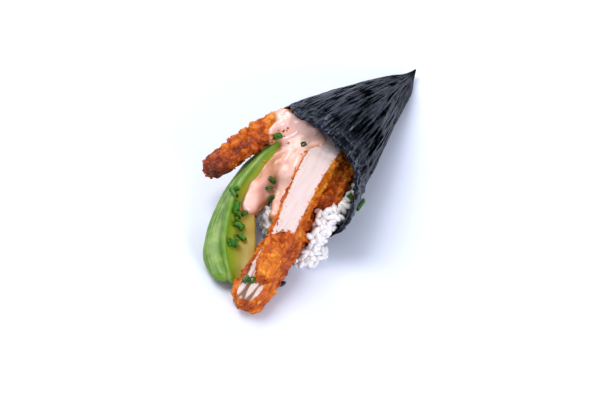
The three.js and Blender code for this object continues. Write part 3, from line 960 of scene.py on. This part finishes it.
cover = tree_of(sheet, *strips.values(), *slices.values(), poured)
heap.data.calc_loop_triangles()
corners = points_of(heap)[np.array([list(t.vertices) for t in heap.data.loop_triangles])]
face_out = np.cross(corners[:, 1] - corners[:, 0], corners[:, 2] - corners[:, 0])
area = np.linalg.norm(face_out, axis=1)
face_out /= np.maximum(area, 1e-12)[:, None]
pick = np.random.default_rng(7)
placings = []
taken = []
tries = pick.choice(len(area), size=60000, p=area / area.sum())
for t in tries:
    if len(placings) >= GRAINS:
        break
    w = pick.dirichlet((1, 1, 1))
    at = corners[t].T @ w
    out = face_out[t]
    rise = pick.choice(RISES, p=[0.5, 0.3, 0.2])
    at = at + out * rise
    if at[2] < GRAIN_LOW or at[1] > LAST_GRAIN:
        continue
    if cover.ray_cast(Vector(at), Vector(out), OVERHEAD)[0] is not None:
        continue
    if cover.find_nearest(Vector(at), GRAIN_CLEAR)[0] is not None:
        continue
    beside = [q for q in taken if abs(q[0] - at[0]) < GRAIN_GAP]
    if any(np.linalg.norm(q - at) < GRAIN_GAP for q in beside):
        continue
    taken.append(at)
    tangent = np.cross(out, pick.normal(size=3))
    tangent /= np.linalg.norm(tangent)
    lean = pick.normal(0, 0.5)
    long_way = tangent * math.cos(lean) + out * math.sin(lean)
    cross_way = np.cross(out, long_way)
    cross_way /= np.linalg.norm(cross_way)
    third = np.cross(long_way, cross_way)
    size = pick.uniform(0.85, 1.12)
    turn_scale = np.stack([long_way, cross_way, third], 1) * size
    placings.append((0, turn_scale, at))

grains = joined("rice_grains", [grain_kind], placings)
smooth(grains)

# Cooked short-grain rice: white and slightly see-through, with a moist starch shine.
cooked, cooked_shader = finish_named("cooked_rice", IOR=1.4, Roughness=0.34)
see_into(cooked_shader, 0.25, 0.0012, (1.0, 0.9, 0.85))
starch = cloudy_noise(cooked, 350.0, 3.0)
rice_colour = coloured(cooked, starch.outputs["Fac"], [(0.3, "#e6e2e4"), (0.7, "#faf7f5")])
into(cooked_shader, Base_Color=rice_colour.outputs["Color"])
for piece in (heap, grains):
    piece.data.materials.append(cooked)
    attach(piece, "root")
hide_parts("rice")

# ---- Chives, crumbs and seed --------------------------------------------------------------------
# Chives cut across into short hollow bits, crumbs fallen from the crust, and one black sesame
# seed. All of them lie loose where they fell.

CHIVE_RADIUS = 0.0014                 # a chive leaf is about 3 mm across
CHIVE_WALL = 0.0004
CHIVE_SCALE = 1.12                    # all bits, against the sizes below
# Where the bits lie: place in millimetres, kind, size against the others, and turn in degrees.
CHIVES = [
    ((-14.9, -14.0, 32.6), 1, 1.1, 40), ((-1.6, -9.5, 29.6), 0, 0.9, 10),
    ((-0.2, -17, 24.5), 2, 1.2, 70), ((-3.7, -18.6, 24.3), 0, 0.7, 130),
    ((-2.3, -19.7, 21.9), 0, 0.8, 60), ((-5.7, -29.6, 20.8), 1, 0.95, 150),
    ((-5.0, -32.9, 18.5), 2, 0.9, 20), ((-1.7, -34.1, 14.7), 1, 0.9, 80),
    ((-15.6, -45.5, 21.6), 1, 1.25, 100), ((-14.6, -47.2, 20.9), 2, 1.2, 30),
    ((-11.1, -50.6, 17.6), 1, 1.15, 0), ((-9.4, -53.2, 16.3), 2, 1.1, 60),
    ((-6.7, -50.4, 15.1), 1, 0.8, 120), ((-7.6, -54.4, 15.1), 0, 1.0, 10),
    ((-5.9, -57.0, 13.9), 1, 1.1, 75), ((-3.4, -56.6, 12.9), 2, 0.95, 140),
    ((-0.7, -60.1, 11.4), 1, 1.0, 35), ((-2.6, -61.5, 11.9), 0, 0.9, 95),
    ((-2.2, -65.3, 10.9), 1, 1.2, 60), ((-3.9, -66.2, 10.9), 2, 1.0, 15),
    ((9.1, -51.6, 15.9), 1, 0.9, 110), ((27.5, -31, 13), 1, 1.0, 25),
    ((28.9, -28.8, 13), 2, 0.8, 80), ((29.6, -15.9, 20.4), 2, 1.0, 50),
    ((28.6, -2.9, 0), 3, 1.0, 140), ((15.3, -77.9, 10.1), 2, 1.1, 120),
    ((17.4, -76.2, 9.9), 0, 1.05, 0),
]


def chive_bit(length, opened):
    """A short piece of hollow leaf. Opened, it is half flattened."""
    bpy.ops.object.select_all(action="DESELECT")
    bpy.ops.mesh.primitive_cylinder_add(
        vertices=14, radius=CHIVE_RADIUS, depth=length, end_fill_type="NOTHING"
    )
    bit = bpy.context.object
    bpy.ops.object.mode_set(mode="EDIT")
    bpy.ops.mesh.select_all(action="SELECT")
    bpy.ops.mesh.subdivide(number_cuts=1)
    bpy.ops.object.mode_set(mode="OBJECT")
    shape = points_of(bit)
    shape[:, 0] *= 1 + 0.25 * opened
    shape[:, 1] *= 1 - 0.45 * opened
    shape[:, 0] += 60 * shape[:, 2] ** 2 * (1 - opened)
    place_points(bit, shape)
    use_modifiers(bit, ("SOLIDIFY", {"thickness": CHIVE_WALL, "offset": -1.0}))
    return triangles_of(bit)


def resting(tree, at, turn, size, lie, sink):
    """The turn, size and place that lay a bit on the nearest surface, its z or its x outward."""
    spot, out, _, _ = tree.find_nearest(Vector(at))
    across_it = out.orthogonal().normalized()
    across_it.rotate(Matrix.Rotation(math.radians(turn), 3, out))
    third = out.cross(across_it)
    basis = (across_it, third, out) if lie == "flat" else (out, across_it, third)
    return np.array(Matrix(basis).transposed()) * size, np.array(spot + out * sink)


chive_kinds = [
    chive_bit(0.0013, 0.0), chive_bit(0.0032, 0.5), chive_bit(0.0028, 1.0), chive_bit(0.0058, 1.0)
]
everything = tree_of(sheet, *strips.values(), *slices.values(), poured, heap, grains, floor)
placings = []
for at, kind, size, turn in CHIVES:
    # Rings lie on a cut end, and longer bits on their side.
    lie, sink = ("flat", 0.0005) if kind == 0 else ("side", 0.0009)
    turned, spot = resting(everything, np.array(at) * MM, turn, size, lie, sink * size)
    placings.append((kind, turned * CHIVE_SCALE, spot))
chives = joined("chopped_chives", chive_kinds, placings)
recalculate(chives)
bpy.ops.object.shade_smooth_by_angle(angle=math.radians(40))

# Fresh chive leaf: deep green waxy skin, mottled with paler streaks.
leaf, leaf_shader = finish_named("fresh_chive", IOR=1.45, Roughness=0.38)
streaks = cloudy_noise(leaf, 500.0, 2.0)
leaf_colour = coloured(leaf, streaks.outputs["Fac"], [
    (0.3, "#184205"), (0.75, "#5c9626"), (0.5, "#2b6608"),
])
into(leaf_shader, Base_Color=leaf_colour.outputs["Color"])
chives.data.materials.append(leaf)
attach(chives, "root")

# Flakes of bread crumb stand out all over the crusts, and a few have fallen on the fillings.
FLAKES = {"katsu_front_upper": 200, "katsu_front_lower": 150, "katsu_back": 200, "katsu_short": 60}
FALLEN = [
    (-13.3, -25.6, 25.5), (1.7, -15.8, 26.9), (1.0, -20.2, 21.7), (-9.7, -49.6, 16.6),
    (28.5, -27.2, 14), (-12.1, -11.0, 31), (-8.8, -12.5, 30), (-3.0, -68.5, 9.0), (24.5, -44, 8),
    (2.2, -23, 20),
]


def flake(seed):
    """An angular crumb, flatter than wide."""
    bpy.ops.object.select_all(action="DESELECT")
    bpy.ops.mesh.primitive_ico_sphere_add(subdivisions=1, radius=1)
    crumb = bpy.context.object
    rough_out = np.random.default_rng(seed).uniform(0.6, 1.25, (len(crumb.data.vertices), 1))
    place_points(crumb, points_of(crumb) * rough_out * (1.0, 0.8, 0.55))
    return triangles_of(crumb)


flake_kinds = [flake(seed) for seed in (1, 2, 3, 4)]
pick = np.random.default_rng(21)
placings = []
tones = []
for solid, number in FLAKES.items():
    piece = strips[solid]
    layers = {}
    for name in ("crust", "toast"):
        layers[name] = np.empty(len(piece.data.vertices))
        piece.data.attributes[name].data.foreach_get("value", layers[name])
    at_all = points_of(piece)
    out_all = normals_of(piece)
    where_crust = np.flatnonzero((layers["crust"] > 0.9) & (at_all[:, 1] < 0.004))
    for i in pick.choice(where_crust, number, replace=False):
        out = Vector(out_all[i])
        lean = (out + 0.45 * Vector(pick.normal(size=3))).normalized()
        across_it = lean.orthogonal().normalized()
        across_it.rotate(Matrix.Rotation(pick.uniform(0, math.tau), 3, lean))
        size = 0.0005 + 0.0009 * pick.random() ** 2
        turned = np.stack([across_it, lean.cross(across_it), lean], 1) * size
        placings.append((int(pick.integers(4)), turned, at_all[i] + out_all[i] * size * 0.1))
        tones.append(layers["toast"][i] + pick.normal(0, 0.12))
for at in FALLEN:
    size = pick.uniform(0.0005, 0.0009)
    turn = pick.uniform(0, 360)
    turned, spot = resting(everything, np.array(at) * MM, turn, size, "flat", 0.0003)
    placings.append((int(pick.integers(4)), turned, spot))
    tones.append(0.3)
crumbs = joined("bread_crumbs", flake_kinds, placings)
per_flake = len(flake_kinds[0][0])
remember(crumbs, "toast", np.repeat(np.clip(tones, 0, 1), per_flake))
for name, value in (("crust", 1.0), ("proud", 0.6), ("fibre", 0.5), ("soiled", 0.0)):
    remember(crumbs, name, np.full(len(crumbs.data.vertices), value))
crumbs.data.materials.append(breaded)
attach(crumbs, "root")

# One black sesame seed, a flat drop 4 mm long.
SEED_HALF = (0.0021, 0.0021, 0.0010)  # half its size each way
SEED_AT = (0.0253, -0.0641, 0.0010)   # on the table, in front of the roll
bpy.ops.object.select_all(action="DESELECT")
bpy.ops.mesh.primitive_uv_sphere_add(segments=20, ring_count=12, radius=1)
seed = bpy.context.object
seed.name = "black_sesame_seed"
drop = points_of(seed)
drop[:, 1] *= 0.62 - 0.22 * drop[:, 0]
drop = drop * SEED_HALF
turn = math.radians(60)
spin = np.array([
    [math.cos(turn), -math.sin(turn), 0], [math.sin(turn), math.cos(turn), 0], [0, 0, 1],
])
place_points(seed, drop @ spin.T + SEED_AT)
smooth(seed)
# Black sesame hull: dull black, with a faint speckle.
hull, hull_shader = finish_named("sesame_hull", IOR=1.45, Roughness=0.4)
speckle = cloudy_noise(hull, 2500.0, 2.0)
hull_colour = coloured(hull, speckle.outputs["Fac"], [(0.3, "#060507"), (0.7, "#1c191d")])
into(hull_shader, Base_Color=hull_colour.outputs["Color"])
seed.data.materials.append(hull)
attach(seed, "root")

# Whatever touches the table lies flat on it.
all_pieces = (sheet, *strips.values(), *slices.values(), poured, heap, grains, chives, crumbs, seed)
for piece in all_pieces:
    place = points_of(piece)
    place[:, 2] = np.maximum(place[:, 2], 0)
    place_points(piece, place)
